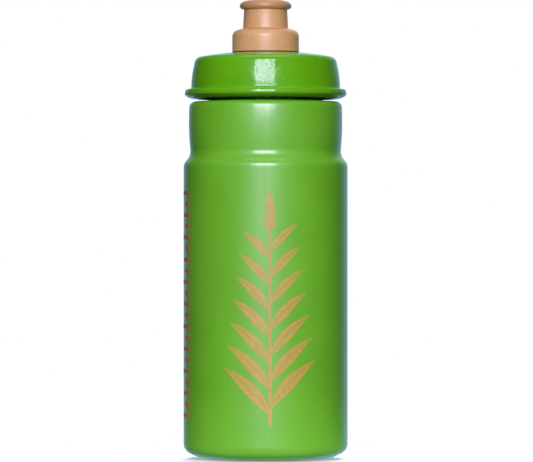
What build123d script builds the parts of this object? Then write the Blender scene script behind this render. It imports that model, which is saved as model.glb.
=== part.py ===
"""A 550 ml cycling water bottle: squeeze body, screw lid and push-pull drinking valve.

Millimetres. +Z is up, the origin is the centre of the base, and the front faces -Y.
The lid unscrews counter-clockwise seen from above on a right-hand thread, and the nozzle slides up to open.
"""
import math
import os

from build123d import *

# ---- shared ----
TOUCH = 0.02             # gap left between pieces that touch
OVERSHOOT = 2.0          # how far a cutting solid runs past the face that it opens
NEAR = 0.1               # window for picking a round edge by its height

# ---- bottle body ----
BODY_R = 37.0            # fits a standard 74 mm bottle cage
BODY_WALL = 1.1
PUSH_UP = 4.0            # how far the base is dished in
FOOT_INNER_R = 21.2      # inner edge of the flat ring that the bottle stands on
HEEL_R_BIG = 22.0        # the base turns up in two tangent arcs, a slow one and a tight one
HEEL_R_SMALL = 5.0
HEEL_TOP = 7.1           # where the straight side begins
SIDE_TOP = 131.7         # where the straight side ends and the finger groove begins
STEP_ANGLE = 41.0        # steepest lean of the step into the groove
STEP_R_OUT = 4.0
STEP_R_IN = 5.7
STEP_FLAT = 1.0
DRUM_LEAN_OUT = 5.6      # above the groove the side leans out again, over a long barrel arc
DRUM_LEAN_IN = 2.8
DRUM_R = 132.0
SHOULDER_R = 2.6
SHOULDER_RISE = 1.0      # slope of the shoulder, degrees

# ---- neck and thread ----
NECK_R = 25.4
NECK_WALL = 1.8
NECK_FILLET = 0.8
NECK_BORE_FILLET = 1.2
RIM_Z = 178.0
RIM_EDGE = 0.5
THREAD_PITCH = 5.0
THREAD_TURNS = 1.5
THREAD_Z = 167.5         # centre of the neck ridge where it starts
THREAD_BASE = 2.4        # ridge width at its root and at its crest
THREAD_CREST = 1.0
THREAD_HEIGHT = 1.6
THREAD_GAP = 2.0         # the lid's ridge runs this far below the neck's ridge
THREAD_ROOT = 0.5        # how deep each ridge is rooted in its wall
THREAD_FADE = 14.0       # degrees over which each ridge end fades out
THREAD_SKIM = 0.05       # the lid's ridge stands this much less proud than the neck's

# ---- lid ----
LID_BOTTOM = 162.45
FLANGE_R = 36.5
FLANGE_UNDER_R = 6.0     # the rolled flange turns up in a slow arc, then a tight one
FLANGE_UNDER_TURN = 40.0
FLANGE_NOSE_R = 1.05
FLANGE_LEAN_R = 3.6      # above its widest point it leans in
FLANGE_LEAN = 28.0
FLANGE_EDGE_R = 0.8
LID_SIDE_R = 33.56       # radius of the side where it meets the flange
LID_SIDE_ARC = 42.0      # the side bends in slowly, then runs straight up to the corner
LID_SIDE_TURN = 11.5
LID_SIDE_STRAIGHT = 3.15
LID_CORNER_R = 3.2
LID_DOME_SLOPE = 10.0    # slope of the domed top where it meets the corner
LID_SIDE_FILLET = 0.7
LID_DOME_WALL = 2.9      # from the crown down to the flat ceiling inside the sealing fin
LID_SKIRT_R = 27.3       # bore of the threaded skirt
LID_SKIRT_WALL = 1.9
LID_SKIRT_BOTTOM = 163.6
LID_SKIRT_ROOM = 0.3     # clear space round the skirt's bottom edge
LID_CEILING = 179.65
POCKET_R_LOW = 31.2      # the pocket between the skirt and the outer wall
POCKET_R_HIGH = 30.3
POCKET_WAIST = 169.0     # above this the pocket's outer wall leans in with the side
POCKET_TOP = 178.3
POCKET_TOP_DROP = 1.5    # the pocket's top slopes down outward by this much
POCKET_EDGE = 0.35
FIN_R = 23.2             # sealing fin that dips into the mouth
FIN_WALL = 1.1
FIN_BOTTOM = 175.4
FIN_EDGE = 0.5

# ---- boss, spout post and plug ----
BOSS_R = 12.4
BOSS_WALL = 1.5
BOSS_TOP = 191.3
BOSS_PLATE = 1.6
BEAD_R = 13.05           # stop bead round the top of the boss
BEAD_Z = 190.3
BEAD_HEIGHT = 0.75
BEAD_ROOT = 0.5
BEAD_EDGE = 0.3
POST_PRESS = 0.05        # clearance of the post in the boss plate and the boss
POST_R = 7.9
POST_BORE = 6.4          # leaves a moulded wall of 1.5
POST_TOP = 201.5
POST_FLANGE = 1.6
POST_EDGE = 0.4
SEAL_Z = 200.15
SEAL_RING_R = 7.65
SEAL_SECTION_R = 0.5
SEAL_GROOVE_GAP = 0.03
HUB_R = 2.3
HUB_HEIGHT = 2.2
HUB_DROP = 0.3           # the hub's top lies this far below the post's top
PIN_R = 1.2
SPOKE_COUNT = 4
SPOKE_THICKNESS = 1.2
SPOKE_ROOT = 0.4
PLUG_NECK_R = 2.1
PLUG_HEAD_R = 3.3
PLUG_HEAD_LOW = 203.8    # the head's underside slopes out from here
PLUG_HEAD_HIGH = 205.1
PLUG_TOP = 206.9
PLUG_EDGE = 0.4
BARB_PROUD = 0.35        # the barb under the hub
BARB_LIP = 0.4
BARB_LENGTH = 1.6

# ---- nozzle ----
NOZZLE_BOTTOM = 183.3
SKIRT_R = 15.06
SKIRT_TOP = 190.5        # where the skirt's side turns into its shoulder
SKIRT_SHOULDER_R = 3.2
NOZZLE_NECK_R_LOW = 10.08
NOZZLE_NECK_R_HIGH = 9.75
NOZZLE_SHOULDER_Z = 194.2
LIP_R = 11.67
LIP_Z = 204.4
LIP_NOSE_R = 1.55
LIP_TOP_R = 3.6           # the lip's top rolls over into the crown
LIP_TURN = 34.0
NOZZLE_TOP = 207.4
ORIFICE_R = 3.4
SLEEVE_BORE = 8.2
SLEEVE_WALL = 0.8
SLEEVE_SKIRT_R = 14.05
SLEEVE_SKIRT_BORE = 13.35
SLEEVE_BOTTOM = 183.8
SLEEVE_LIP_BORE = 12.75
SLEEVE_LIP_TOP = 184.4
SLEEVE_CEILING = 191.7
SLEEVE_ROOF = 192.6
SLEEVE_ROOF_R = 12.9
SLEEVE_SHOULDER = 191.0
SLEEVE_CHAMFER = 0.6
SLEEVE_TOP = 203.9
NOZZLE_PLATE = 204.9     # underside of the plate round the drinking hole
SKIRT_EDGE = 0.45
SKIRT_SHOULDER_TURN = 76.0
ORIFICE_EDGE = 0.6
CROWN_MID_R = 7.0        # the crown's arc passes through this point
CROWN_MID_DROP = 0.22
PLATE_CHAMFER = 1.0
SLEEVE_LIP_SLOPE = 0.3

# ---- gasket ----
GASKET_INNER = 23.45
GASKET_OUTER = 27.1
GASKET_BOTTOM = 178.03
GASKET_TOP = 179.62
GASKET_EDGE = 0.4


def spin(outline):
    """A solid of revolution from a closed outline drawn as (radius, height)."""
    return revolve(Plane.XZ * make_face(outline), Axis.Z)


def ring(inner, outer, low, high):
    """A plain ring, or a disc where inner is 0."""
    with BuildLine() as line:
        Polyline((inner, low), (outer, low), (outer, high), (inner, high), close=True)
    return spin(line.line)


def polar(radius, degrees):
    return Vector(radius * math.cos(math.radians(degrees)), radius * math.sin(math.radians(degrees)))


# ---------------------------------------------------------------- bottle body
def body_outline(inset, neck_r, top):
    """Half section of the bottle, moved in by inset: the outside for 0, the inside for the wall."""
    heel_turn = math.degrees(math.acos((HEEL_R_BIG - HEEL_TOP) / (HEEL_R_BIG - HEEL_R_SMALL)))
    foot_outer = BODY_R - HEEL_R_SMALL - (HEEL_R_BIG - HEEL_R_SMALL) * math.sin(math.radians(heel_turn))
    with BuildLine() as line:
        dish = ThreePointArc(
            (0, PUSH_UP + inset),
            (FOOT_INNER_R / 2, inset + PUSH_UP * 0.75),
            (FOOT_INNER_R, inset),
        )
        foot = Line(dish @ 1, (foot_outer, inset))
        heel = JernArc(foot @ 1, foot % 1, HEEL_R_BIG - inset, heel_turn)
        heel_up = JernArc(heel @ 1, heel % 1, HEEL_R_SMALL - inset, 90 - heel_turn)
        side = Line(heel_up @ 1, (BODY_R - inset, SIDE_TOP))
        step = JernArc(side @ 1, side % 1, STEP_R_OUT - inset, STEP_ANGLE)
        slope = Line(step @ 1, step @ 1 + (step % 1) * STEP_FLAT)
        groove = JernArc(slope @ 1, slope % 1, STEP_R_IN + inset, -(STEP_ANGLE + DRUM_LEAN_OUT))
        drum = JernArc(groove @ 1, groove % 1, DRUM_R - inset, DRUM_LEAN_OUT + DRUM_LEAN_IN)
        corner = JernArc(drum @ 1, drum % 1, SHOULDER_R - inset, 90 - DRUM_LEAN_IN - SHOULDER_RISE)
        run = (corner @ 1).X - neck_r
        rise = run * math.tan(math.radians(SHOULDER_RISE))
        Polyline(corner @ 1, (neck_r, (corner @ 1).Y + rise), (neck_r, top), (0, top), dish @ 0)
    return line.line


def fillet_at(solid, radius, low, high, amount):
    """Rounds the circular edges of solid that have this radius and lie between two heights."""
    edges = [
        e
        for e in solid.edges().filter_by(GeomType.CIRCLE)
        if abs(e.radius - radius) < 0.02 and low < e.center().Z < high
    ]
    return fillet(edges, amount)


def ridge(root_r, crest_r, start_z):
    """A helical thread ridge from root_r to crest_r, rooted in its wall and faded out at both ends."""
    outward = 1 if crest_r > root_r else -1
    buried = root_r - outward * THREAD_ROOT
    slant = (THREAD_BASE - THREAD_CREST) / 2 / abs(crest_r - root_r)
    low_half = THREAD_BASE / 2 + slant * THREAD_ROOT
    high_half = THREAD_CREST / 2
    section = Plane.XZ * make_face(
        Polyline(
            (buried, start_z - low_half),
            (buried, start_z + low_half),
            (crest_r, start_z + high_half),
            (crest_r, start_z - high_half),
            close=True,
        )
    )
    path = Pos(0, 0, start_z) * Helix(THREAD_PITCH, THREAD_PITCH * THREAD_TURNS, root_r)
    bar = sweep(section, path, is_frenet=True)
    turn = 360 * THREAD_TURNS
    bar -= ridge_fade(root_r, crest_r, 0, THREAD_FADE, start_z)
    return bar - ridge_fade(root_r, crest_r, turn, turn - THREAD_FADE, start_z + THREAD_PITCH * THREAD_TURNS)


def ridge_fade(root_r, crest_r, end, inside, z):
    """The block that slants a ridge's end away, from its root at end to its crest at inside, in degrees."""
    outward = 1 if crest_r > root_r else -1
    root = polar(root_r - outward * THREAD_SKIM, end)
    crest = polar(crest_r + outward * THREAD_SKIM, inside)
    along = (crest - root).normalized()
    across = Vector(along.Y, -along.X)
    if across.dot(polar(outward, end)) < 0:
        across = across * -1
    depth = THREAD_PITCH * 2
    middle = (root + crest) * 0.5 + across * depth / 2
    plane = Plane(origin=(middle.X, middle.Y, z), x_dir=(along.X, along.Y, 0), z_dir=(0, 0, 1))
    return plane * Box(depth * 2.4, depth, THREAD_PITCH - NEAR * 8)


def make_bottle_body():
    outside = spin(body_outline(0, NECK_R, RIM_Z))
    outside = fillet_at(outside, NECK_R, SIDE_TOP, RIM_Z - NEAR, NECK_FILLET)
    inside = spin(body_outline(BODY_WALL, NECK_R - NECK_WALL, RIM_Z + OVERSHOOT))
    inside = fillet_at(inside, NECK_R - NECK_WALL, SIDE_TOP, RIM_Z, NECK_BORE_FILLET)
    shell = outside - inside
    for radius in (NECK_R, NECK_R - NECK_WALL):
        shell = fillet_at(shell, radius, RIM_Z - NEAR, RIM_Z + NEAR, RIM_EDGE)
    return shell + ridge(NECK_R, NECK_R + THREAD_HEIGHT, THREAD_Z)


# ---------------------------------------------------------------- lid
def lid_outside():
    """The lid's outer form (rolled flange, leaning side, domed top), and the height of its crown."""
    under_turn = math.radians(FLANGE_UNDER_TURN)
    flat_r = FLANGE_R - FLANGE_UNDER_R * math.sin(under_turn) - FLANGE_NOSE_R * (1 - math.sin(under_turn))
    with BuildLine() as line:
        flat = Line((0, LID_BOTTOM), (flat_r, LID_BOTTOM))
        under = JernArc(flat @ 1, flat % 1, FLANGE_UNDER_R, FLANGE_UNDER_TURN)
        nose = JernArc(under @ 1, under % 1, FLANGE_NOSE_R, 90 - FLANGE_UNDER_TURN)
        lean = JernArc(nose @ 1, nose % 1, FLANGE_LEAN_R, FLANGE_LEAN)
        edge = JernArc(lean @ 1, lean % 1, FLANGE_EDGE_R, 90 - FLANGE_LEAN)
        ledge = Line(edge @ 1, (LID_SIDE_R, (edge @ 1).Y))
        side = JernArc(ledge @ 1, (0, 1), LID_SIDE_ARC, LID_SIDE_TURN)
        straight = Line(side @ 1, side @ 1 + (side % 1) * LID_SIDE_STRAIGHT)
        corner = JernArc(straight @ 1, straight % 1, LID_CORNER_R, 90 - LID_SIDE_TURN - LID_DOME_SLOPE)
        dome_r = (corner @ 1).X / math.sin(math.radians(LID_DOME_SLOPE))
        dome = JernArc(corner @ 1, corner % 1, dome_r, LID_DOME_SLOPE)
        Line(dome @ 1, flat @ 0)
    return spin(line.line), (ledge @ 1).Y, (dome @ 1).Y


def lid_pocket():
    """The ring-shaped pocket between the threaded skirt and the outer wall."""
    skirt_outer = LID_SKIRT_R + LID_SKIRT_WALL
    with BuildLine() as line:
        FilletPolyline(
            (skirt_outer, LID_BOTTOM - OVERSHOOT),
            (POCKET_R_LOW, LID_BOTTOM - OVERSHOOT),
            (POCKET_R_LOW, POCKET_WAIST),
            (POCKET_R_HIGH, POCKET_TOP - POCKET_TOP_DROP),
            (skirt_outer, POCKET_TOP),
            close=True,
            radius=POCKET_EDGE,
        )
    return spin(line.line)


def make_lid_shell():
    body, ledge_z, crown = lid_outside()
    body = fillet_at(body, LID_SIDE_R, ledge_z - NEAR, ledge_z + NEAR, LID_SIDE_FILLET)
    below = LID_BOTTOM - OVERSHOOT
    inner_ceiling = crown - LID_DOME_WALL
    body -= lid_pocket()
    body -= ring(0, LID_SKIRT_R, below, LID_CEILING)
    body -= ring(0, LID_SKIRT_R + LID_SKIRT_WALL + LID_SKIRT_ROOM, below, LID_SKIRT_BOTTOM)
    body -= ring(0, FIN_R - FIN_WALL, below, inner_ceiling)
    fin = ring(FIN_R - FIN_WALL, FIN_R, FIN_BOTTOM, LID_CEILING + FIN_EDGE)
    body += fillet_at(fin, FIN_R, FIN_BOTTOM - NEAR, FIN_BOTTOM + NEAR, FIN_EDGE)
    body += ring(0, BOSS_R, inner_ceiling, BOSS_TOP)
    bead = ring(BOSS_R - BEAD_ROOT, BEAD_R, BEAD_Z, BEAD_Z + BEAD_HEIGHT)
    body += fillet_at(bead, BEAD_R, BEAD_Z + NEAR, BEAD_Z + BEAD_HEIGHT + NEAR, BEAD_EDGE)
    body -= ring(0, BOSS_R - BOSS_WALL, below, BOSS_TOP - BOSS_PLATE)
    body -= ring(0, POST_R + POST_PRESS, below, BOSS_TOP + OVERSHOOT)
    return body + ridge(LID_SKIRT_R, LID_SKIRT_R - THREAD_HEIGHT + THREAD_SKIM, THREAD_Z - THREAD_GAP)


def make_lid_gasket():
    washer = ring(GASKET_INNER, GASKET_OUTER, GASKET_BOTTOM, GASKET_TOP)
    for radius in (GASKET_INNER, GASKET_OUTER):
        washer = fillet_at(washer, radius, GASKET_BOTTOM - NEAR, GASKET_TOP + NEAR, GASKET_EDGE)
    return washer


# ---------------------------------------------------------------- drinking valve
def make_spout_post():
    flange_top = BOSS_TOP - BOSS_PLATE
    flange_low = flange_top - POST_FLANGE
    post = ring(POST_BORE, POST_R, flange_low, POST_TOP)
    post = fillet_at(post, POST_R, POST_TOP - NEAR, POST_TOP + NEAR, POST_EDGE)
    post += ring(POST_BORE, BOSS_R - BOSS_WALL - POST_PRESS, flange_low, flange_top - TOUCH)
    post -= Pos(0, 0, SEAL_Z) * Torus(SEAL_RING_R, SEAL_SECTION_R + SEAL_GROOVE_GAP)
    hub_z = POST_TOP - HUB_HEIGHT / 2 - HUB_DROP
    reach = POST_BORE + SPOKE_ROOT
    for i in range(SPOKE_COUNT):
        spoke = Pos(reach / 2, 0, hub_z) * Box(reach, SPOKE_THICKNESS, HUB_HEIGHT)
        post += Rot(0, 0, (i + 0.5) * 360 / SPOKE_COUNT) * spoke
    post += Pos(0, 0, hub_z) * Cylinder(HUB_R, HUB_HEIGHT)
    return post - Pos(0, 0, hub_z) * Cylinder(PIN_R + TOUCH, HUB_HEIGHT + OVERSHOOT)


def make_post_seal():
    return Pos(0, 0, SEAL_Z) * Torus(SEAL_RING_R, SEAL_SECTION_R)


def make_valve_plug():
    """A pin through the hub, barbed below it, with a round head that closes the drinking hole."""
    seat = POST_TOP - HUB_DROP + TOUCH
    under_hub = POST_TOP - HUB_DROP - HUB_HEIGHT - TOUCH
    with BuildLine() as line:
        FilletPolyline(
            (0, PLUG_TOP),
            (PLUG_HEAD_R, PLUG_TOP),
            (PLUG_HEAD_R, PLUG_HEAD_HIGH),
            (PLUG_NECK_R, PLUG_HEAD_LOW),
            (PLUG_NECK_R, seat),
            radius=PLUG_EDGE,
        )
        Polyline(
            (PLUG_NECK_R, seat),
            (PIN_R, seat),
            (PIN_R, under_hub),
            (PIN_R + BARB_PROUD, under_hub),
            (PIN_R + BARB_PROUD, under_hub - BARB_LIP),
            (PIN_R - BARB_LIP, under_hub - BARB_LENGTH),
            (0, under_hub - BARB_LENGTH),
            (0, PLUG_TOP),
        )
    return spin(line.line)


def make_nozzle_sleeve():
    """The nozzle's stiff core: a skirt that guides on the boss and a tube that slides on the post."""
    with BuildLine() as line:
        Polyline(
            (SLEEVE_SKIRT_R, SLEEVE_BOTTOM),
            (SLEEVE_SKIRT_R, SLEEVE_SHOULDER),
            (SLEEVE_ROOF_R, SLEEVE_ROOF),
            (SLEEVE_BORE + SLEEVE_WALL, SLEEVE_ROOF),
            (SLEEVE_BORE + SLEEVE_WALL, SLEEVE_TOP),
            (SLEEVE_BORE, SLEEVE_TOP),
            (SLEEVE_BORE, SLEEVE_CEILING),
            (SLEEVE_SKIRT_BORE - SLEEVE_CHAMFER, SLEEVE_CEILING),
            (SLEEVE_SKIRT_BORE, SLEEVE_CEILING - SLEEVE_CHAMFER),
            (SLEEVE_SKIRT_BORE, SLEEVE_LIP_TOP),
            (SLEEVE_LIP_BORE, SLEEVE_LIP_TOP - SLEEVE_LIP_SLOPE),
            (SLEEVE_LIP_BORE, SLEEVE_BOTTOM),
            close=True,
        )
    return spin(line.line)


def make_nozzle_skin():
    """The soft mouthpiece moulded over the core: skirt, neck, bite lip and crowned top."""
    with BuildLine() as line:
        FilletPolyline(
            (SLEEVE_LIP_BORE, SLEEVE_BOTTOM),
            (SLEEVE_LIP_BORE, NOZZLE_BOTTOM),
            (SKIRT_R, NOZZLE_BOTTOM),
            (SKIRT_R, SKIRT_TOP),
            radius=SKIRT_EDGE,
        )
        shoulder = JernArc((SKIRT_R, SKIRT_TOP), (0, 1), SKIRT_SHOULDER_R, SKIRT_SHOULDER_TURN)
        rise = Line(shoulder @ 1, (NOZZLE_NECK_R_LOW, NOZZLE_SHOULDER_Z))
        neck = Line(rise @ 1, (NOZZLE_NECK_R_HIGH, LIP_Z - LIP_NOSE_R))
        under = Line(neck @ 1, (LIP_R - LIP_NOSE_R, LIP_Z - LIP_NOSE_R))
        nose = CenterArc((LIP_R - LIP_NOSE_R, LIP_Z), LIP_NOSE_R, -90, 130)
        turn = JernArc(nose @ 1, nose % 1, LIP_TOP_R, LIP_TURN)
        crown_end = (ORIFICE_R + ORIFICE_EDGE, NOZZLE_TOP)
        crown = ThreePointArc(turn @ 1, (CROWN_MID_R, NOZZLE_TOP - CROWN_MID_DROP), crown_end)
        rim = RadiusArc(crown @ 1, (ORIFICE_R, NOZZLE_TOP - ORIFICE_EDGE), -ORIFICE_EDGE)
        Polyline(
            rim @ 1,
            (ORIFICE_R, NOZZLE_PLATE),
            (SLEEVE_BORE - PLATE_CHAMFER, NOZZLE_PLATE),
            (SLEEVE_BORE, SLEEVE_TOP),
            (SLEEVE_BORE + SLEEVE_WALL, SLEEVE_TOP),
            (SLEEVE_BORE + SLEEVE_WALL, SLEEVE_ROOF),
            (SLEEVE_ROOF_R, SLEEVE_ROOF),
            (SLEEVE_SKIRT_R, SLEEVE_SHOULDER),
            (SLEEVE_SKIRT_R, SLEEVE_BOTTOM),
            (SLEEVE_LIP_BORE, SLEEVE_BOTTOM),
        )
    return spin(line.line)


def main():
    os.makedirs("parts", exist_ok=True)
    parts = {
        "bottle_body": make_bottle_body(),
        "lid_shell": make_lid_shell(),
        "lid_gasket": make_lid_gasket(),
        "spout_post": make_spout_post(),
        "post_seal": make_post_seal(),
        "valve_plug": make_valve_plug(),
        "nozzle_sleeve": make_nozzle_sleeve(),
        "nozzle_skin": make_nozzle_skin(),
    }
    for name, shape in parts.items():
        export_step(shape, f"parts/{name}.step")
        print(name, len(shape.solids()), round(shape.volume), shape.bounding_box().size)


main()
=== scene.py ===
"""The looks of a cycling water bottle: satin squeeze body, glossy screw lid, soft push-pull nozzle."""
import math

import bmesh
import bpy
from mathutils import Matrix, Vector


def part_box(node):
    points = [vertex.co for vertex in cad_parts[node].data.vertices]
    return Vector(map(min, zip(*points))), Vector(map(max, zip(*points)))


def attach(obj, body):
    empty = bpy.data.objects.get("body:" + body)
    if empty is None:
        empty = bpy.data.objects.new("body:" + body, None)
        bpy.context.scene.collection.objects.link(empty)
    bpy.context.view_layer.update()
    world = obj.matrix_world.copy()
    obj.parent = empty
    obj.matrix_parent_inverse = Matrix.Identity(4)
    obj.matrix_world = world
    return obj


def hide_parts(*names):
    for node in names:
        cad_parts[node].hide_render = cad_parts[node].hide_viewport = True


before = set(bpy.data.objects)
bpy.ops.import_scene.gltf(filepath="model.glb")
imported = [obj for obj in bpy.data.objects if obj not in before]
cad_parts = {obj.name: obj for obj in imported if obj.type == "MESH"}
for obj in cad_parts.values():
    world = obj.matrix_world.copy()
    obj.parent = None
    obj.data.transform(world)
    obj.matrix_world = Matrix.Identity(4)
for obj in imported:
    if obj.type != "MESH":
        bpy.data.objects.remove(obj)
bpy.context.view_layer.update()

MM = 0.001

# ---- sizes of the bottle, in millimetres and degrees, taken from the frame where it has them ----
BODY_HIGH = Vector(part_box("bottle_body")[1]) / MM
LID_LOW, LID_HIGH = (Vector(corner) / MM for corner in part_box("lid_shell"))
SKIN_LOW, SKIN_HIGH = (Vector(corner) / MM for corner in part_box("nozzle_skin"))
BODY_R = BODY_HIGH.x
RIM_Z = BODY_HIGH.z
LID_R = LID_HIGH.x
NOZZLE_R = SKIN_HIGH.x
SKIRT_LOW = SKIN_LOW.z + 0.12   # the mouthpiece's soft edge stands a little clear of the lid's dome

# the screw thread, on the neck's outside and on the inside of the lid's skirt
NECK_R = 25.4
LID_BORE = 27.3
THREAD_PITCH = 5.0
THREAD_TURNS = 1.5
THREAD_Z = 167.5
THREAD_GAP = 2.0          # the lid's ridge runs this far below the neck's ridge
THREAD_FADE = 14.0        # degrees in which the ridge grows to its full height, at both ends
NECK_RIDGE = 1.6          # heights of the two ridges
LID_RIDGE = 1.55
RIDGE_SUNK = 0.4          # the ridge's root lies this deep in the wall
RIDGE_BURIED = 1.35       # half widths of the ridge, from the buried root to the flat crest
RIDGE_FOOT = 1.2
RIDGE_EDGE = 0.6
RIDGE_CREST = 0.38
RIDGE_EDGE_SHARE = 0.88   # the rounded edge is at this share of the height
RIDGE_STEPS = 150

FACETS = 288              # faces round the body and the lid
NOZZLE_FACETS = 192
FINE_STEP = 0.09          # spacing of the extra directions across a parting line
FINE_STEPS = 9
SMOOTH_ANGLE = math.radians(38)


# ---------------------------------------------------------------- outlines and meshes
class Pen:
    """Draws half of a turned outline as (radius, height) points. Heading 0 is outward and 90 is up."""

    def __init__(self, r, z, heading=0.0):
        self.r, self.z, self.heading = r, z, heading
        self.points = [(r, z)]

    def to(self, r, z):
        """A straight run to a point, which also sets the heading."""
        self.heading = math.degrees(math.atan2(z - self.z, r - self.r))
        self.r, self.z = r, z
        self.points.append((r, z))
        return self

    def forward(self, length):
        a = math.radians(self.heading)
        return self.to(self.r + length * math.cos(a), self.z + length * math.sin(a))

    def face(self, heading):
        self.heading = heading
        return self

    def bend(self, radius, turn, step=4.5):
        """A round corner: turn and step are in degrees, and a positive turn is to the left."""
        side = 1 if turn > 0 else -1
        a = math.radians(self.heading)
        cx, cz = self.r - side * radius * math.sin(a), self.z + side * radius * math.cos(a)
        count = max(2, round(abs(turn) / step))
        for i in range(1, count + 1):
            b = math.radians(self.heading + turn * i / count)
            self.points.append((cx + side * radius * math.sin(b), cz - side * radius * math.cos(b)))
        self.r, self.z = self.points[-1]
        self.heading += turn
        return self

    def bow(self, r, z, rise, count=10):
        """A shallow arc to a point, whose middle stands off the straight line by rise, to its left."""
        start, end = Vector((self.r, self.z)), Vector((r, z))
        left = Vector((start.y - end.y, end.x - start.x)).normalized()
        for i in range(1, count + 1):
            t = i / count
            self.points.append(tuple(start.lerp(end, t) + left * rise * 4 * t * (1 - t)))
        self.r, self.z = r, z
        return self


def angles(count, fine_at=()):
    """Directions round the axis, in degrees, with closer ones at each place in fine_at."""
    found = {round(i * 360 / count, 3) for i in range(count)}
    for middle in fine_at:
        found |= {round((middle + i * FINE_STEP) % 360, 3) for i in range(-FINE_STEPS, FINE_STEPS + 1)}
    return sorted(found)


def add_lathe(bm, outline, directions, swell=None):
    """Turns a closed outline of (radius, height) points. swell(direction, r, z) adds to the radius."""
    rings = []
    for r, z in outline:
        if r < 1e-6:
            rings.append([bm.verts.new((0, 0, z * MM))])
            continue
        ring = []
        for direction in directions:
            a = math.radians(direction)
            reach = r + (swell(direction, r, z) if swell else 0)
            ring.append(bm.verts.new((reach * math.cos(a) * MM, reach * math.sin(a) * MM, z * MM)))
        rings.append(ring)
    for low, high in zip(rings, rings[1:] + rings[:1]):
        for i in range(len(directions)):
            j = (i + 1) % len(directions)
            if len(low) == 1 and len(high) == 1:
                break
            if len(low) == 1:
                bm.faces.new((low[0], high[j], high[i]))
            elif len(high) == 1:
                bm.faces.new((low[i], low[j], high[0]))
            else:
                bm.faces.new((low[i], low[j], high[j], high[i]))


def add_loft(bm, sections):
    """Skins a row of closed sections with equal point counts, and caps both ends."""
    rings = [[bm.verts.new(Vector(p) * MM) for p in section] for section in sections]
    for low, high in zip(rings, rings[1:]):
        for i in range(len(low)):
            j = (i + 1) % len(low)
            bm.faces.new((low[i], low[j], high[j], high[i]))
    bm.faces.new(list(reversed(rings[0])))
    bm.faces.new(rings[-1])


def ridge_shape(height):
    """The thread's section, as (distance off the wall, distance along the axis) points."""
    sunk = -math.copysign(RIDGE_SUNK, height)
    lower = [(sunk, -RIDGE_BURIED), (0, -RIDGE_FOOT), (height * RIDGE_EDGE_SHARE, -RIDGE_EDGE),
             (height, -RIDGE_CREST)]
    return lower + [(off, -along) for off, along in reversed(lower)]


def add_thread(bm, wall_r, height, start_z):
    """A helical ridge that fades out at both ends. It stands inward if its height is negative."""
    full = 360 * THREAD_TURNS
    sections = []
    for i in range(RIDGE_STEPS + 1):
        turn = full * i / RIDGE_STEPS
        fade = max(0.02, min(1.0, turn / THREAD_FADE, (full - turn) / THREAD_FADE))
        z = start_z + THREAD_PITCH * turn / 360
        a = math.radians(turn)
        sections.append([((wall_r + off) * math.cos(a), (wall_r + off) * math.sin(a), z + along)
                         for off, along in ridge_shape(height * fade)])
    add_loft(bm, sections)


def finish_mesh(name, bm, material, body):
    """Makes the piece, smooths it, and hangs it on its CAD body."""
    bmesh.ops.recalc_face_normals(bm, faces=bm.faces)
    mesh = bpy.data.meshes.new(name)
    bm.to_mesh(mesh)
    bm.free()
    mesh.shade_smooth()
    mesh.set_sharp_from_angle(angle=SMOOTH_ANGLE)
    mesh.materials.append(material)
    piece = bpy.data.objects.new(name, mesh)
    bpy.context.scene.collection.objects.link(piece)
    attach(piece, body)
    return piece


# ---------------------------------------------------------------- node helpers
SOFT = (0.3, 0.7)         # from where to where a noise is ramped, for a soft change


class Nodes:
    """A small helper round one node tree, a material's or the world's."""

    def __init__(self, tree, place):
        self.tree = tree
        self.place = self.add("ShaderNodeTexCoord").outputs[place]

    def add(self, kind, **values):
        """A new node with some of its inputs set: From_Min=0.5 and so on."""
        node = self.tree.nodes.new(kind)
        for key, value in values.items():
            node.inputs[key.replace("_", " ")].default_value = value
        return node

    def link(self, output, socket):
        self.tree.links.new(output, socket)

    def along(self, axis):
        """The place's X, Y or Z."""
        node = self.add("ShaderNodeSeparateXYZ")
        self.link(self.place, node.inputs[0])
        return node.outputs[axis]

    def noise(self, per_metre, detail=2.0, roughness=0.5, stretch=None):
        """Noise with so many features a metre. stretch scales the place along X, Y and Z first."""
        node = self.add("ShaderNodeTexNoise", Scale=per_metre, Detail=detail, Roughness=roughness)
        place = self.place
        if stretch:
            mapping = self.add("ShaderNodeMapping", Scale=stretch)
            self.link(place, mapping.inputs["Vector"])
            place = mapping.outputs["Vector"]
        self.link(place, node.inputs["Vector"])
        return node.outputs["Fac"]

    def ramp(self, value, low, high, out_low=0.0, out_high=1.0):
        """A smooth step: out_low up to low, and out_high from high on."""
        node = self.add("ShaderNodeMapRange", From_Min=low, From_Max=high, To_Min=out_low, To_Max=out_high)
        node.interpolation_type = "SMOOTHSTEP"
        self.link(value, node.inputs["Value"])
        return node.outputs["Result"]

    def calc(self, operation, *values):
        node = self.add("ShaderNodeMath")
        node.operation = operation
        for socket, value in zip(node.inputs, values):
            if isinstance(value, (int, float)):
                socket.default_value = value
            else:
                self.link(value, socket)
        return node.outputs[0]

    def blend(self, amount, low, high):
        """Mixes two colours, each a colour or another node's output."""
        node = self.add("ShaderNodeMix")
        node.data_type = "RGBA"
        self.link(amount, node.inputs["Factor"])
        sockets = [s for s in node.inputs if s.type == "RGBA"]
        for socket, colour in zip(sockets, (low, high)):
            if isinstance(colour, tuple):
                socket.default_value = (*colour, 1.0)
            else:
                self.link(colour, socket)
        return next(s for s in node.outputs if s.type == "RGBA")


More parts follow.
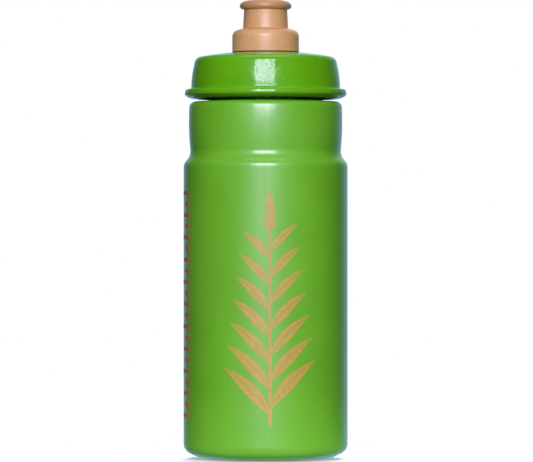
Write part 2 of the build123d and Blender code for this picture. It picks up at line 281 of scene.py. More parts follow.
class Look(Nodes):
    """The node tree of a new material. A texture's place is the piece's own, in metres."""

    def __init__(self, name):
        self.material = bpy.data.materials.new(name)
        self.material.use_nodes = True
        super().__init__(self.material.node_tree, "Object")
        self.shader = self.tree.nodes["Principled BSDF"]

    def set(self, **values):
        """Sets the shader's own sockets: Specular_IOR_Level=0.5 and so on."""
        for key, value in values.items():
            self.shader.inputs[key.replace("_", " ")].default_value = value

    def patches(self, per_metre, detail, low, high):
        """Two near colours that drift into each other."""
        return self.blend(self.ramp(self.noise(per_metre, detail), *SOFT), low, high)

    def bump(self, layers):
        """Stacks bumps, each (height output, depth in millimetres)."""
        normal = None
        for value, depth in layers:
            node = self.add("ShaderNodeBump", Strength=1.0, Distance=depth * MM)
            self.link(value, node.inputs["Height"])
            if normal is not None:
                self.link(normal, node.inputs["Normal"])
            normal = node.outputs["Normal"]
        self.link(normal, self.shader.inputs["Normal"])

    def surface(self, colour, rough, bumps):
        """Plugs colour, roughness and bumps into the shader, and hands back the material."""
        self.link(colour, self.shader.inputs["Base Color"])
        self.link(rough, self.shader.inputs["Roughness"])
        self.bump(bumps)
        return self.material


def linear(red, green, blue):
    """An sRGB colour given as 0 to 255, as the linear numbers that shaders use."""
    def one(value):
        value /= 255
        return value / 12.92 if value <= 0.04045 else ((value + 0.055) / 1.055) ** 2.4
    return one(red), one(green), one(blue)


# ---------------------------------------------------------------- materials
SCUFF = (0.2, 2.2)        # the foot is scuffed up to here, and clean from here on
LIP_SHADE = (4.8, 3.6)    # the bite lip darkens between these depths under the nozzle's top
GAP_SHADE = (0.15, 0.6)      # painted shade of the gap under the skirt, in heights above its lower edge: dark up to here, and clear from here on


def body_material():
    """Blown low-density polyethylene: satin, very slightly cloudy, with fine grain and a scuffed foot."""
    n = Look("satin_squeeze_plastic")
    n.set(IOR=1.5, Specular_IOR_Level=0.55, Coat_Weight=0.76, Coat_Roughness=0.2, Coat_IOR=1.48)
    colour = n.patches(38, 3, linear(96, 165, 22), linear(103, 172, 30))
    grain = n.ramp(n.noise(2600), 0.35, 0.75)
    colour = n.blend(n.calc("MULTIPLY", grain, 0.16), colour, linear(126, 188, 66))
    low_down = n.ramp(n.along("Z"), *(height * MM for height in SCUFF), 1.0, 0.0)
    scuff = n.calc("MULTIPLY", low_down, n.ramp(n.noise(900, detail=4), 0.4, 0.7))
    colour = n.blend(n.calc("MULTIPLY", scuff, 0.35), colour, linear(170, 205, 140))
    streaks = n.noise(420, detail=3, roughness=0.6, stretch=(1, 1, 0.05))
    rough = n.ramp(streaks, 0.25, 0.75, 0.44, 0.54)
    rough = n.calc("ADD", rough, n.calc("MULTIPLY", scuff, 0.25))
    return n.surface(colour, rough, [(n.noise(60), 0.06), (n.noise(3400, detail=3, roughness=0.6), 0.008)])


def lid_material():
    """Glossy injection-moulded lid with a finely mottled skin, which breaks up what it mirrors."""
    n = Look("glossy_lid_plastic")
    n.set(IOR=1.53, Specular_IOR_Level=0.36)
    colour = n.patches(45, 2, linear(84, 151, 10), linear(91, 158, 15))
    specks = n.ramp(n.noise(1900, detail=1), 0.62, 0.8)
    colour = n.blend(n.calc("MULTIPLY", specks, 0.2), colour, linear(112, 178, 40))
    mottle = n.noise(1900, roughness=0.6, stretch=(0.5, 0.5, 1.0))
    rough = n.ramp(mottle, 0.48, 0.56, 0.04, 0.34)
    return n.surface(colour, rough, [(mottle, 0.03), (n.noise(3200, roughness=0.6), 0.002)])


def nozzle_material():
    """Soft tan mouthpiece rubber: matt, faintly mottled, painted darker at its top and bite lip, and with
    painted shade along its lower edge.
    """
    n = Look("soft_nozzle_rubber")
    n.set(IOR=1.48, Specular_IOR_Level=0.62, Sheen_Weight=0.06, Sheen_Roughness=0.4)
    colour = n.patches(160, 3, linear(193, 142, 88), linear(200, 150, 96))
    dust = n.ramp(n.noise(2400), 0.5, 0.8)
    colour = n.blend(n.calc("MULTIPLY", dust, 0.16), colour, linear(222, 186, 150))
    # the top of the mouthpiece, bite lip included, is painted darker from these depths up
    shade_low, shade_high = ((SKIN_HIGH.z - depth) * MM for depth in LIP_SHADE)
    darker_top = n.ramp(n.along("Z"), shade_low, shade_high, 0.0, 0.5)
    colour = n.blend(darker_top, colour, linear(150, 102, 60))
    # painted shade: the skirt's lower edge is darkened by height, where the gap under it lies in shadow
    gap_shade_low, gap_shade_high = ((SKIRT_LOW + height) * MM for height in GAP_SHADE)
    painted_gap_shade = n.ramp(n.along("Z"), gap_shade_low, gap_shade_high, 0.95, 0.0)
    colour = n.blend(painted_gap_shade, colour, linear(44, 28, 16))
    rough = n.ramp(n.noise(1100, detail=3), *SOFT, 0.36, 0.48)
    return n.surface(colour, rough, [(n.noise(2600, detail=3, roughness=0.6), 0.014)])


def valve_material():
    """Natural off-white polypropylene, a little waxy."""
    n = Look("natural_valve_plastic")
    n.set(IOR=1.49, Specular_IOR_Level=0.5)
    colour = n.patches(300, 3, linear(222, 219, 205), linear(233, 231, 220))
    rough = n.ramp(n.noise(1500), *SOFT, 0.3, 0.42)
    return n.surface(colour, rough, [(n.noise(2800, roughness=0.6), 0.01)])


def seal_material():
    """Pale grey silicone with a dusty skin."""
    n = Look("silicone_seal")
    n.set(IOR=1.42, Specular_IOR_Level=0.4, Sheen_Weight=0.2, Sheen_Roughness=0.5)
    colour = n.patches(500, 3, linear(196, 199, 192), linear(208, 210, 204))
    rough = n.ramp(n.noise(1800), *SOFT, 0.45, 0.6)
    return n.surface(colour, rough, [(n.noise(3000, roughness=0.6), 0.012)])


def ink_material(name, dark, light):
    """Screen-printed ink: slightly uneven in its cover, with a fine screen texture."""
    n = Look(name)
    n.set(IOR=1.48, Specular_IOR_Level=0.4)
    cover = n.ramp(n.noise(500, detail=3), 0.3, 0.72)
    rough = n.ramp(n.noise(1200), *SOFT, 0.42, 0.56)
    return n.surface(n.blend(cover, dark, light), rough, [(n.noise(3800, roughness=0.6), 0.008)])


# ---------------------------------------------------------------- bottle body
WALL = 1.1
PUSH_UP = 4.0             # the base is dished in by this much,
DISH_BOW = 1.0            # and its slope bows off a straight line by this much
FOOT_INNER_R = 21.2
HEEL_R = 22.0             # the heel's wide arc, and the tighter one that leads into the side
HEEL_TOP_R = 5.0
SIDE_LOW = 7.1            # the straight side runs from here to here
SIDE_HIGH = 131.7
SIDE_RINGS = range(20, 131, 10)

# the outside's corners above the straight side: radius and turn, where a turn to the left leads inward
GROOVE_EDGE = (4.0, 41)
GROOVE_BOTTOM = (5.7, -46.6)
DRUM_BULGE = (132.0, 8.4)
SHOULDER = (2.6, 86.2)
GROOVE_SLOPE = 1.0        # the straight run between the groove's first two corners

NECK_BORE = 23.6
NECK_FILLET = 0.8         # between shoulder and neck, outside and inside
BORE_FILLET = 1.2
RIM_ROUND = 0.5

SEAM_ANGLE = -86.9        # the mould's parting line is a little to the right of the front, and at the back
SEAM_HEIGHT = 0.022
SEAM_WIDTH = 0.3
SEAM_LOW = 0.4            # it runs from here up to just under the rim
SEAM_HIGH = RIM_Z - 1

PINCH_REACH = 17.0        # the pinch line under the base runs this far from the axis, both ways
PINCH_HALF_WIDTH = 0.5
PINCH_CREST = 0.35        # the flat crest's share of the width
PINCH_HEIGHT = 0.35
PINCH_SUNK = 0.4          # its root lies this deep in the base
PINCH_FADE = 4            # it loses its height over this length at each end
PINCH_STEPS = 34


def wall_bend(pen, corner, inset, step):
    """A corner of the wall. Further in, a left turn is tighter and a right turn is wider."""
    radius, turn = corner
    return pen.bend(radius - math.copysign(inset, turn), turn, step)


def body_side(inset):
    """The body's profile from the foot to the shoulder's end: the outside for 0, the inside for the wall."""
    heel_turn = math.degrees(math.acos((HEEL_R - SIDE_LOW) / (HEEL_R - HEEL_TOP_R)))
    foot_r = BODY_R - HEEL_TOP_R - (HEEL_R - HEEL_TOP_R) * math.sin(math.radians(heel_turn))
    pen = Pen(0, PUSH_UP + inset).bow(FOOT_INNER_R, inset, DISH_BOW, 14).to(foot_r, inset).face(0)
    wall_bend(pen, (HEEL_R, heel_turn), inset, 2.5)
    wall_bend(pen, (HEEL_TOP_R, 90 - heel_turn), inset, 4)
    for z in (*SIDE_RINGS, SIDE_HIGH):
        pen.to(BODY_R - inset, z)
    wall_bend(pen.face(90), GROOVE_EDGE, inset, 4).forward(GROOVE_SLOPE)
    wall_bend(pen, GROOVE_BOTTOM, inset, 4)
    wall_bend(pen, DRUM_BULGE, inset, 0.7)
    return wall_bend(pen, SHOULDER, inset, 5)


def with_neck(pen, neck_r, fillet, rise, rim_turn):
    """Carries a profile on from the shoulder, up the neck and round one edge of the rim."""
    pen.to(neck_r + fillet, pen.z + rise).face(180).bend(fillet, -90, 15)
    pen.to(neck_r, RIM_Z - RIM_ROUND).face(90).bend(RIM_ROUND, rim_turn, 22)
    return pen.points


def body_outline():
    """The closed section of the body: up the outside, over the rim and back down the inside."""
    outside = with_neck(body_side(0), NECK_R, NECK_FILLET, rise=0.12, rim_turn=90)
    inside = with_neck(body_side(WALL), NECK_BORE, BORE_FILLET, rise=0.1, rim_turn=-90)
    return outside + list(reversed(inside))


def seam_swell(direction, r, z):
    """The raised parting line of the two mould halves."""
    if z > SEAM_HIGH or z < SEAM_LOW or r < FOOT_INNER_R:
        return 0
    gap = min(abs((direction - SEAM_ANGLE - half + 180) % 360 - 180) for half in (0, 180))
    away = math.radians(gap) * r
    return SEAM_HEIGHT * math.exp(-((away / SEAM_WIDTH) ** 2))


def make_body(material):
    bm = bmesh.new()
    outside = {(round(r, 4), round(z, 4)) for r, z in body_side(0).points}

    def swell(direction, r, z):
        on_side = (round(r, 4), round(z, 4)) in outside
        on_neck = abs(r - NECK_R) < NECK_FILLET + 0.1
        return seam_swell(direction, r, z) if on_side or on_neck else 0

    add_lathe(bm, body_outline(), angles(FACETS, (SEAM_ANGLE, SEAM_ANGLE + 180)), swell)
    add_thread(bm, NECK_R, NECK_RIDGE, THREAD_Z)
    piece = finish_mesh("squeeze_body", bm, material, "bottle")
    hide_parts("bottle_body")


def make_pinch_line(material):
    """The raised line that the mould leaves where it pinches the tube shut, across the dished base."""
    a = math.radians(SEAM_ANGLE)
    along, across = Vector((math.cos(a), math.sin(a), 0)), Vector((-math.sin(a), math.cos(a), 0))
    wide, crest = PINCH_HALF_WIDTH, PINCH_HALF_WIDTH * PINCH_CREST
    sections = []
    for i in range(PINCH_STEPS + 1):
        s = -PINCH_REACH + 2 * PINCH_REACH * i / PINCH_STEPS
        t = abs(s) / FOOT_INNER_R
        dish = PUSH_UP * (1 - t) + DISH_BOW * 4 * t * (1 - t)
        height = PINCH_HEIGHT * min(1.0, (PINCH_REACH - abs(s)) / PINCH_FADE + 0.05)
        middle = along * s + Vector((0, 0, dish))
        shape = [(-wide, PINCH_SUNK), (-wide, 0.0), (-crest, -height),
                 (crest, -height), (wide, 0.0), (wide, PINCH_SUNK)]
        sections.append([tuple(middle + across * w + Vector((0, 0, h))) for w, h in shape])
    bm = bmesh.new()
    add_loft(bm, sections)
    finish_mesh("base_pinch_line", bm, material, "bottle")


# ---------------------------------------------------------------- lid
FLANGE_UNDER_R = 6.0      # the rolled flange's arcs, from its underside over the edge to its top
FLANGE_EDGE_R = 1.05
FLANGE_TOP_R = 3.6
FLANGE_CURL_R = 0.8
FLANGE_RISE = 40          # degrees turned along the underside, and along the top
FLANGE_FALL = 28
SIDE_FOOT_R = 33.56       # the leaning side stands here on the flange
SIDE_FILLET = 0.7
SIDE_BOW_R = 42.0
SIDE_LEAN = 11.5
SIDE_RUN = 3.15
CROWN_R = 3.2             # the round corner between side and dome
DOME_SLOPE = 10           # degrees, at the dome's outer edge
DOME_OUTER_R = 29.5
DOME_INNER_R = 13.0
DOME_STEPS = 20

BOSS_R = 12.4             # the boss that the mouthpiece slides on
BOSS_BORE = 10.9
BOSS_HOLE_R = 7.95        # the post stands in this hole
BOSS_HIGH = 191.3
BOSS_ROOF = 189.7
BOSS_FILLET = 0.6
DETENT = ((0, 190.3), (0.55, 190.35), (0.65, 190.7), (0.45, 191.0), (0, 191.05))   # (off the boss, height)

CAP_UNDER = 180.5         # the cap's underside inside the fin, and its fall towards the fin
CAP_FALL = 0.05
CAP_CORNER = 0.4          # round corners at the boss's bore and at the fin
FIN_CORNER = 0.3
FIN_R = 22.1              # the sealing fin's inner side
FIN_LOW = 175.9
FIN_TIP_R = 0.5
FIN_DRAFT = 0.1           # the fin is this much thicker at its root
GASKET_ROOF = 179.65
LID_SKIRT_R = 29.2        # the threaded skirt
LID_SKIRT_LOW = 163.6
LID_CHAMFER = 0.3
POCKET_R = 31.2           # the outer wall's inside, at the pocket between the two walls
POCKET_HIGH = 177.9
POCKET_CORNER = (0.35, -70)                 # radius and turn
POCKET_END = ((30.2, 177.1), (30.45, 176.6), (POCKET_R, 169.0))   # (radius, height) down its outer wall

RIB_COUNT = 18
RIB_PLACE = (29.9, 172.6)         # radius and height of a rib's middle
RIB_SIZE = (2.0, 0.9, 11.4)
RIB_TAPER = 0.75


def add_dome(pen):
    """Carries the outline in along the dome, from the crown to the boss."""
    slope = math.radians(DOME_SLOPE)
    dome_r = pen.r / math.sin(slope)
    top = pen.z + dome_r * (1 - math.cos(slope))
    for i in range(1, DOME_STEPS + 1):
        r = DOME_OUTER_R + (DOME_INNER_R - DOME_OUTER_R) * i / DOME_STEPS
        pen.points.append((r, top - dome_r + math.sqrt(dome_r ** 2 - r ** 2)))
    pen.r, pen.z = pen.points[-1]


def lid_outside():
    """The outline from the flange's underside, round its edge, up the side and in along the dome."""
    rise = math.radians(FLANGE_RISE)
    flat_r = LID_R - FLANGE_UNDER_R * math.sin(rise) - FLANGE_EDGE_R * (1 - math.sin(rise))
    pen = Pen(POCKET_R, LID_LOW.z).to(flat_r, LID_LOW.z).face(0)
    pen.bend(FLANGE_UNDER_R, FLANGE_RISE, 4).bend(FLANGE_EDGE_R, 90 - FLANGE_RISE, 8)
    pen.bend(FLANGE_TOP_R, FLANGE_FALL, 4).bend(FLANGE_CURL_R, 90 - FLANGE_FALL, 9)
    pen.to(SIDE_FOOT_R + SIDE_FILLET, pen.z).face(180).bend(SIDE_FILLET, -90, 12)
    pen.bend(SIDE_BOW_R, SIDE_LEAN, 1).forward(SIDE_RUN)
    pen.bend(CROWN_R, 90 - SIDE_LEAN - DOME_SLOPE, 3.5)
    add_dome(pen)
    return pen


def add_boss(pen):
    """The boss with its detent bead, chamfered hole and bore."""
    pen.face(180).bend(BOSS_FILLET, -85, 15)
    for off, z in DETENT:
        pen.to(BOSS_R + off, z)
    pen.to(BOSS_R - LID_CHAMFER, BOSS_HIGH).to(BOSS_HOLE_R + LID_CHAMFER, BOSS_HIGH)
    pen.to(BOSS_HOLE_R, BOSS_HIGH - LID_CHAMFER).to(BOSS_HOLE_R, BOSS_ROOF).to(BOSS_BORE, BOSS_ROOF)
    pen.to(BOSS_BORE, CAP_UNDER + CAP_CORNER).face(-90).bend(CAP_CORNER, 90, 22)


def add_lid_inside(pen):
    """The cap's underside, the sealing fin, the threaded skirt and the pocket behind it."""
    pen.to(FIN_R - FIN_CORNER, CAP_UNDER - CAP_FALL).face(0).bend(FIN_CORNER, -90, 22)
    pen.to(FIN_R, FIN_LOW).face(-90).bend(FIN_TIP_R, 90, 22).bend(FIN_TIP_R, 90, 22)
    pen.to(FIN_R + 2 * FIN_TIP_R + FIN_DRAFT, GASKET_ROOF).to(LID_BORE, GASKET_ROOF)
    pen.to(LID_BORE, LID_SKIRT_LOW + LID_CHAMFER).to(LID_BORE + LID_CHAMFER, LID_SKIRT_LOW)
    pen.to(LID_SKIRT_R - LID_CHAMFER, LID_SKIRT_LOW).to(LID_SKIRT_R, LID_SKIRT_LOW + LID_CHAMFER)
    pen.to(LID_SKIRT_R, POCKET_HIGH).face(90).bend(*POCKET_CORNER, 18)
    for r, z in POCKET_END:
        pen.to(r, z)
    pen.to(POCKET_R, LID_LOW.z + 0.2)


def lid_outline():
    """The closed section of the lid."""
    pen = lid_outside()
    add_boss(pen)
    add_lid_inside(pen)
    return pen.points


def add_rib(bm, direction):
    """A box across the lid's pocket, turned about the axis and thinner at its lower end."""
    a = math.radians(direction)
    long, thick, high = RIB_SIZE
    verts = []
    for dz in (-1, 1):
        for dx, dy in ((-1, -1), (1, -1), (1, 1), (-1, 1)):
            x = RIB_PLACE[0] + dx * long / 2
            y = dy * thick / 2 * (RIB_TAPER if dz < 0 else 1.0)
            z = RIB_PLACE[1] + dz * high / 2
            verts.append(bm.verts.new(Vector((x * math.cos(a) - y * math.sin(a),
                                              x * math.sin(a) + y * math.cos(a), z)) * MM))
    for quad in ((3, 2, 1, 0), (4, 5, 6, 7), (0, 1, 5, 4), (1, 2, 6, 5), (2, 3, 7, 6), (3, 0, 4, 7)):
        bm.faces.new([verts[i] for i in quad])


def make_lid(material):
    bm = bmesh.new()
    add_lathe(bm, lid_outline(), angles(FACETS))
    add_thread(bm, LID_BORE, -LID_RIDGE, THREAD_Z - THREAD_GAP)
    for i in range(RIB_COUNT):
        add_rib(bm, i * 360 / RIB_COUNT)
    piece = finish_mesh("screw_lid", bm, material, "lid")
    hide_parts("lid_shell")


# ---------------------------------------------------------------- nozzle
SKIRT_BORE = 13.3
SKIRT_INNER_ROUND = 0.25
SKIRT_OUTER_ROUND = 0.3
SKIRT_HIGH = 190.5
SKIRT_SHOULDER = (3.2, 76)        # radius and turn
NECK_FOOT = (10.55, 194.13)       # (radius, height) where the mouthpiece's neck starts and ends
NECK_TOP = (9.77, 202.54)
LIP_R = 11.67
LIP_LOW = 202.85
LIP_EDGE = (1.55, 130)            # the bite lip's corners: radius and turn
LIP_TOP = (3.6, 34)
HOLE_R = 3.4
HOLE_ROUND = 0.6
SLEEVE_LOW = 184.1
SLEEVE_BED = ((HOLE_R, 204.9), (7.2, 204.9), (8.2, 203.9), (9.0, 203.9), (9.0, 192.6), (12.9, 192.6),
              (14.05, 191.0), (14.05, SLEEVE_LOW))   # where the stiff sleeve lies in the skin


def nozzle_outline():
    """The closed section of the soft skin: lower edge, skirt, neck, bite lip, drinking hole and inside."""
    pen = Pen(SKIRT_BORE, SLEEVE_LOW).to(SKIRT_BORE, SKIRT_LOW + SKIRT_INNER_ROUND)
    pen.face(-90).bend(SKIRT_INNER_ROUND, 90, 22)
    pen.to(NOZZLE_R - SKIRT_OUTER_ROUND, SKIRT_LOW).face(0).bend(SKIRT_OUTER_ROUND, 90, 15)
    pen.to(NOZZLE_R, SKIRT_HIGH).face(90).bend(*SKIRT_SHOULDER, 5)
    pen.to(*NECK_FOOT).face(170).bend(0.45, -78, 12)
    pen.to(*NECK_TOP).face(91.5).bend(0.3, -91.5, 14)
    pen.to(LIP_R - LIP_EDGE[0], LIP_LOW).face(0).bend(*LIP_EDGE, 7).bend(*LIP_TOP, 4)
    pen.bow(HOLE_R + HOLE_ROUND, SKIN_HIGH.z - 0.003, -0.12, 8).face(180).bend(HOLE_ROUND, 90, 15)
    for r, z in SLEEVE_BED:
        pen.to(r, z)
    return pen.points


def make_nozzle(material):
    bm = bmesh.new()
    add_lathe(bm, nozzle_outline(), angles(NOZZLE_FACETS))
    piece = finish_mesh("mouthpiece", bm, material, "nozzle")
    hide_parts("nozzle_skin")


# ---------------------------------------------------------------- print
PRINT_PROUD = 0.035       # a band of ink stands this far off the body,
PRINT_LAYER = 0.0006      # the next one this much further, so that no two tops lie in one surface,
PRINT_SUNK = 0.08         # and all of them reach this deep into the wall
THINNEST = 0.12           # least width of a band


def on_body(u, z, depth):
    """A point on the straight side: u is measured round the body from the front, to the right."""
    a = u / BODY_R
    return Vector(((BODY_R + depth) * math.sin(a), -(BODY_R + depth) * math.cos(a), z)) * MM


def spline_value(p, q, r, s, t):
    """The Catmull-Rom value at share t of the way from q to r, with p before them and s after."""
    square = 2 * p - 5 * q + 4 * r - s
    cube = 3 * q - p - 3 * r + s
    return 0.5 * (2 * q + (r - p) * t + square * t * t + cube * t ** 3)


def spline(points, per_span=9):
    """A smooth row of points through the given ones, whatever their number of components."""
    padded = [points[0]] + list(points) + [points[-1]]
    out = []
    for four in zip(padded, padded[1:], padded[2:], padded[3:]):
        for i in range(per_span):
            out.append(tuple(spline_value(*values, i / per_span) for values in zip(*four)))
    out.append(tuple(points[-1]))
    return out


def add_ribbon(bm, points, layer, columns=4):
    """A band of ink through (u, z, width) points, wrapped on the side, as a thin closed solid."""
    line = spline(points)
    proud = PRINT_PROUD + layer * PRINT_LAYER
    tops, bottoms = [], []
    for i, (u, z, width) in enumerate(line):
        before, after = line[max(i - 1, 0)], line[min(i + 1, len(line) - 1)]
        run = Vector((after[0] - before[0], after[1] - before[1])).normalized()
        side = Vector((-run.y, run.x)) * max(width, THINNEST) / 2
        edge = [side * (2 * k / columns - 1) for k in range(columns + 1)]
        tops.append([bm.verts.new(on_body(u + e.x, z + e.y, proud)) for e in edge])
        bottoms.append([bm.verts.new(on_body(u + e.x, z + e.y, -PRINT_SUNK)) for e in edge])
    for sheet in (tops, bottoms):
        for low, high in zip(sheet, sheet[1:]):
            for k in range(columns):
                bm.faces.new((low[k], low[k + 1], high[k + 1], high[k]))
    for k in (0, columns):
        for i in range(len(line) - 1):
            bm.faces.new((tops[i][k], tops[i + 1][k], bottoms[i + 1][k], bottoms[i][k]))
    for i in (0, len(line) - 1):
        for k in range(columns):
            bm.faces.new((tops[i][k], tops[i][k + 1], bottoms[i][k + 1], bottoms[i][k]))


SPRIG_U = 2.0             # the sprig's stem stands here, measured round the body from the front
SPRIG_LOW = 17.0
SPRIG_HIGH = 112.0
STEM = ((SPRIG_LOW, 1.7), (60, 1.2), (SPRIG_HIGH + 5, 0.6))   # height and width
LEAVES_LOW = SPRIG_LOW + 6
LEAVES_HIGH = SPRIG_HIGH - 20
LEAF_PAIRS = 7
LEAF_STAGGER = 1.6        # a pair's right leaf starts this much above its place, and the left one below
LEAF_LONG = 30.0          # the lowest leaf; those above get shorter in even steps
LEAF_SHORT = 18.0
LEAF_SLIM = 5.6           # length to width
LEAF_SKEW = 0.85          # below 1, the widest place is nearer the root than the tip
LEAF_LEAN = 34.0          # degrees between the stem and a leaf's root
LEAF_CURL = 26.0          # degrees that a leaf bends outward by, from root to tip
LEAF_STEPS = 10
VEIN_GAP = 0.4            # the bare line along the middle of a leaf
GRAIN_ROWS = 5
GRAIN_LOW = SPRIG_HIGH - 9.0
GRAIN_STEP = 3.1
GRAIN_REACH = 3.4         # the lowest grains' size; each row above is smaller by the shrinkage
GRAIN_SHRINK = 0.35
TOP_GRAIN_Z = SPRIG_HIGH + 4.2


def leaf(u, z, length, lean, curl):
    """The two halves of one lance-shaped leaf, with a bare vein between them."""
    halves = ([], [])
    for i in range(LEAF_STEPS + 1):
        t = i / LEAF_STEPS
        a = math.radians(lean + curl * t)
        blade = length / LEAF_SLIM * math.sin(math.pi * t ** LEAF_SKEW)
        width = max(blade - VEIN_GAP, 0) / 2 + 0.1
        for half, side in zip(halves, (-1, 1)):
            off = side * (width + VEIN_GAP) / 2
            half.append((u + off * math.cos(a), z - off * math.sin(a), width))
        u += length / LEAF_STEPS * math.sin(a)
        z += length / LEAF_STEPS * math.cos(a)
    return halves


def grain(foot, belly, tip):
    """A pointed grain through three (u, z) places, widest at its belly."""
    return [(*foot, 0.3), (*belly, 1.5), (*tip, 0.2)]


def seed_head():
    """Rows of small grains up the tip of the stem, and one on top."""
    grains = []
    for row in range(GRAIN_ROWS):
        z = GRAIN_LOW + row * GRAIN_STEP
        reach = GRAIN_REACH - row * GRAIN_SHRINK
        for side in (-1, 1):
            grains.append(grain((SPRIG_U + side * 0.3, z), (SPRIG_U + side * reach * 0.5, z + reach * 0.7),
                                (SPRIG_U + side * reach * 0.75, z + reach * 1.35)))
    grains.append(grain((SPRIG_U, TOP_GRAIN_Z), (SPRIG_U, TOP_GRAIN_Z + 2.4), (SPRIG_U, TOP_GRAIN_Z + 5.0)))
    return grains


def make_sprig(material):
    """A plain sprig with evenly spaced pairs of leaves, printed up the front of the body."""
    bands = [[(SPRIG_U, z, width) for z, width in STEM]]
    for pair in range(LEAF_PAIRS):
        share = pair / (LEAF_PAIRS - 1)
        z = LEAVES_LOW + share * (LEAVES_HIGH - LEAVES_LOW)
        length = LEAF_LONG + share * (LEAF_SHORT - LEAF_LONG)
        for side in (-1, 1):
            bands += leaf(SPRIG_U, z + side * LEAF_STAGGER, length, side * LEAF_LEAN, side * LEAF_CURL)
    bm = bmesh.new()
    for layer, band in enumerate(bands + seed_head()):
        add_ribbon(bm, band, layer)
    finish_mesh("printed_sprig", bm, material, "bottle")


SCALE_U = -44.0           # the fill scale's upright line, on the left side
SCALE_LOW = 20.0
SCALE_STEP = 5.0
SCALE_MARKS = 20
SCALE_LINE = 1.1          # width of the upright line, and of a mark
MARK_WIDTH = 1.7
MARK_START = 0.6          # a mark starts this far beyond the middle of the upright line
MARK_LENGTHS = (14.0, 6.0, 10.0, 6.0)   # one whole mark, then a quarter, a half and a quarter


def make_fill_scale(material):
    """An upright line with evenly spaced marks that show how full the bottle is, with no lettering."""
    bm = bmesh.new()
    high = SCALE_LOW + SCALE_STEP * SCALE_MARKS
    add_ribbon(bm, [(SCALE_U, z, SCALE_LINE) for z in (SCALE_LOW, high)], 0, 1)
    for i in range(SCALE_MARKS + 1):
        z = SCALE_LOW + SCALE_STEP * i
        length = MARK_LENGTHS[i % len(MARK_LENGTHS)]
        add_ribbon(bm, [(SCALE_U - off, z, MARK_WIDTH) for off in (MARK_START, length)], i, 1)
    finish_mesh("fill_scale", bm, material, "bottle")


# ---------------------------------------------------------------- studio, in metres
FLOOR_R = 0.6
FLOOR_FADE = (0.036, 0.10)        # the floor is whole up to here, and has faded out by here
FLOOR_GLOW = (0.92, 0.96, 1.0, 1.0)
WORLD_GLOW = (0.40, 0.68, 1.0, 1.0)
GLOW_TILT = 0.1                   # the glow leans this much to the right
GLOW_EDGE = (0.66, 1.01)          # where the glow starts and is full, where 1 is straight behind the bottle
GLOW_LEAST = 0.012                # what is left of it elsewhere
WHITE = (1, 1, 1)

CAMERA_DISTANCE = 1.9
CAMERA_HEIGHT = 0.10285
CAMERA_SHIFT = 0.0004             # to the right
FRAME_WIDTH = 0.2406              # what the picture spans at the bottle's axis
SENSOR = 36.0                     # millimetres


def make_floor():
    """A pale floor disc that fades away round the bottle. The bottle doesn't mirror it."""
    mesh = bpy.data.meshes.new("studio_floor")
    bm = bmesh.new()
    bmesh.ops.create_circle(bm, cap_ends=True, segments=96, radius=FLOOR_R)
    bm.to_mesh(mesh)
    bm.free()
    n = Look("pale_floor")
    n.set(Roughness=0.6, Specular_IOR_Level=0.3, Emission_Color=FLOOR_GLOW, Emission_Strength=0.34)
    n.link(n.patches(30, 3, (0.70, 0.77, 0.86), (0.74, 0.81, 0.90)), n.shader.inputs["Base Color"])
    n.bump([(n.noise(800), 0.02)])
    length = n.add("ShaderNodeVectorMath")
    length.operation = "LENGTH"
    n.link(n.place, length.inputs[0])
    n.link(n.ramp(length.outputs["Value"], *FLOOR_FADE, 1.0, 0.0), n.shader.inputs["Alpha"])
    mesh.materials.append(n.material)
    floor = bpy.data.objects.new("studio_floor", mesh)
    bpy.context.scene.collection.objects.link(floor)
    floor.visible_glossy = False


def make_world():
    """A pale blue glow behind the bottle, nearly dark elsewhere, and plain white where the camera sees it."""
    world = bpy.data.worlds.new("studio")
    bpy.context.scene.world = world
    world.use_nodes = True
    world.node_tree.nodes.clear()
    n = Nodes(world.node_tree, "Generated")
    behind = n.calc("MULTIPLY_ADD", n.along("X"), GLOW_TILT, n.along("Y"))
    lit = n.add("ShaderNodeBackground", Color=WORLD_GLOW)
    n.link(n.ramp(behind, *GLOW_EDGE, GLOW_LEAST, 1.0), lit.inputs["Strength"])
    seen = n.add("ShaderNodeBackground", Color=(*WHITE, 1))
    mix = n.add("ShaderNodeMixShader")
    n.link(n.add("ShaderNodeLightPath").outputs["Is Camera Ray"], mix.inputs["Fac"])
    n.link(lit.outputs[0], mix.inputs[1])
    n.link(seen.outputs[0], mix.inputs[2])
    n.link(mix.outputs[0], n.add("ShaderNodeOutputWorld").inputs["Surface"])


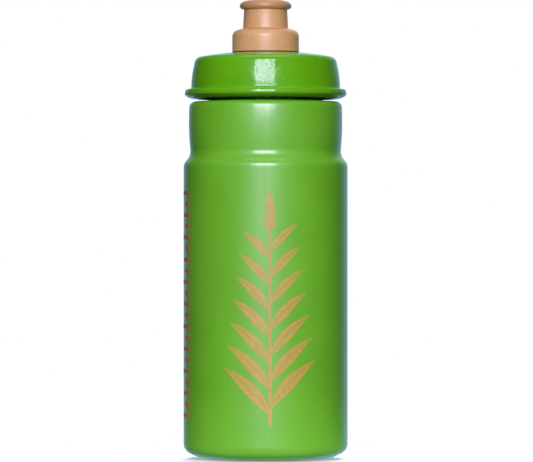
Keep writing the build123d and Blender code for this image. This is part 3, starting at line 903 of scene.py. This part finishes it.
def make_softbox(name, place, aim, size, watts, colour=WHITE, mirrored=True):
    """A rectangular light aimed at a point. Unless it is mirrored, it leaves no highlight."""
    light = bpy.data.lights.new(name, "AREA")
    light.shape = "RECTANGLE"
    light.size, light.size_y = size
    light.energy = watts
    light.color = colour
    holder = bpy.data.objects.new(name, light)
    holder.location = place
    holder.rotation_euler = (Vector(aim) - Vector(place)).to_track_quat("-Z", "Y").to_euler()
    holder.visible_camera = False
    holder.visible_glossy = mirrored
    bpy.context.scene.collection.objects.link(holder)


def make_lights():
    """The key light stands above the camera, and makes the bright patch on the lid."""
    make_softbox("key_softbox", place=(-0.05, -1.8, 0.78), aim=(0, 0, 0.12), size=(1.02, 0.92), watts=62,
                 colour=(0.77, 0.77, 1.0))
    make_softbox("top_softbox", place=(0, 0.1, 1.5), aim=(0, 0, 0), size=(0.9, 0.9), watts=6)
    make_softbox("back_softbox", place=(0.35, 1.45, 1.15), aim=(0, 0, 0.1), size=(1.0, 0.7), watts=40,
                 mirrored=False)


def make_camera():
    camera = bpy.data.cameras.new("camera")
    camera.sensor_width = SENSOR
    camera.lens = SENSOR * CAMERA_DISTANCE / FRAME_WIDTH
    holder = bpy.data.objects.new("camera", camera)
    holder.location = (CAMERA_SHIFT, -CAMERA_DISTANCE, CAMERA_HEIGHT)
    holder.rotation_euler = (math.pi / 2, 0, 0)
    bpy.context.scene.collection.objects.link(holder)
    bpy.context.scene.camera = holder


def make_studio():
    bpy.context.scene.view_settings.view_transform = "Standard"
    make_world()
    make_floor()
    make_lights()
    make_camera()


def dress_cad_nodes():
    """The valve's inner pieces and the seals keep their CAD shapes and get their own materials."""
    looks = {
        valve_material(): ("spout_post", "valve_plug", "nozzle_sleeve"),
        seal_material(): ("lid_gasket", "post_seal"),
    }
    for material, nodes in looks.items():
        for node in nodes:
            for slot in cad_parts[node].material_slots:
                slot.material = material


def main():
    green = body_material()
    make_body(green)
    make_pinch_line(green)
    make_lid(lid_material())
    make_nozzle(nozzle_material())
    make_sprig(ink_material("tan_print_ink", linear(180, 143, 64), linear(188, 152, 72)))
    make_fill_scale(ink_material("rust_mark_ink", linear(176, 96, 40), linear(190, 108, 50)))
    dress_cad_nodes()
    make_studio()


main()
